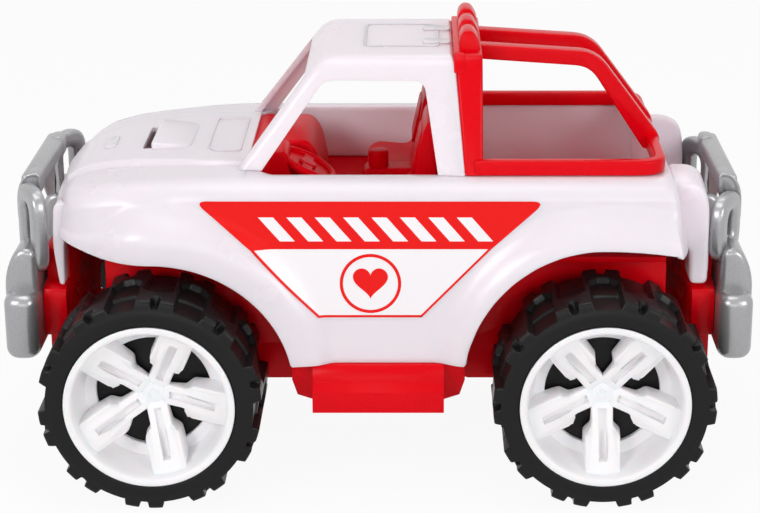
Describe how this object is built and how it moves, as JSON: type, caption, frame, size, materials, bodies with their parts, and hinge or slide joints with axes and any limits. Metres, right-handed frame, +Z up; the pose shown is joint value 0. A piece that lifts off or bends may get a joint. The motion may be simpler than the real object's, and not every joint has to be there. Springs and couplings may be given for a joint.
{
  "type": "toy ambulance",
  "caption": "Push-along open-backed off-road toy ambulance: moulded body on big free-rolling lugged wheels, roll bar over the bed, bumper guards at both ends",
  "frame": {"origin": "on the ground, at the middle of the bounding box, midway between the axles", "axes": "+X to the front of the car, +Y to its left side, +Z up"},
  "size_m": [0.358, 0.2216, 0.2145],
  "materials": {
    "body_white": "glossy moulded, slightly translucent",
    "trim_red": "glossy moulded",
    "guard_silver": "metallic grey, satin",
    "steel": "bright drawn steel",
    "tyre_black": "satin moulded",
    "rim_white": "satin moulded",
    "sticker_red": "printed film"
  },
  "bodies": {
    "car": {"body_shell": "body_white", "cab_roof": "body_white", "interior": "trim_red", "steering_wheel": "trim_red", "gear_knob": "trim_red", "roll_bar": "trim_red", "chassis": "trim_red", "front_bumper": "guard_silver", "rear_bumper": "guard_silver", "sticker_left": "sticker_red", "sticker_right": "sticker_red", "screw_1": "steel", "screw_2": "steel", "screw_3": "steel", "screw_4": "steel"},
    "front_wheels": {"front_axle": "steel", "tyre_front_left": "tyre_black", "tyre_front_right": "tyre_black", "rim_front_left": "rim_white", "rim_front_right": "rim_white"},
    "rear_wheels": {"rear_axle": "steel", "tyre_rear_left": "tyre_black", "tyre_rear_right": "tyre_black", "rim_rear_left": "rim_white", "rim_rear_right": "rim_white"}
  },
  "joints": [
    {"name": "front_axle_spin", "type": "hinge", "parent": "car", "child": "front_wheels", "pos_m": [0.1055, 0, 0.052], "axis": [0, 1, 0], "continuous": true},
    {"name": "rear_axle_spin", "type": "hinge", "parent": "car", "child": "rear_wheels", "pos_m": [-0.1055, 0, 0.052], "axis": [0, 1, 0], "continuous": true}
  ]
}
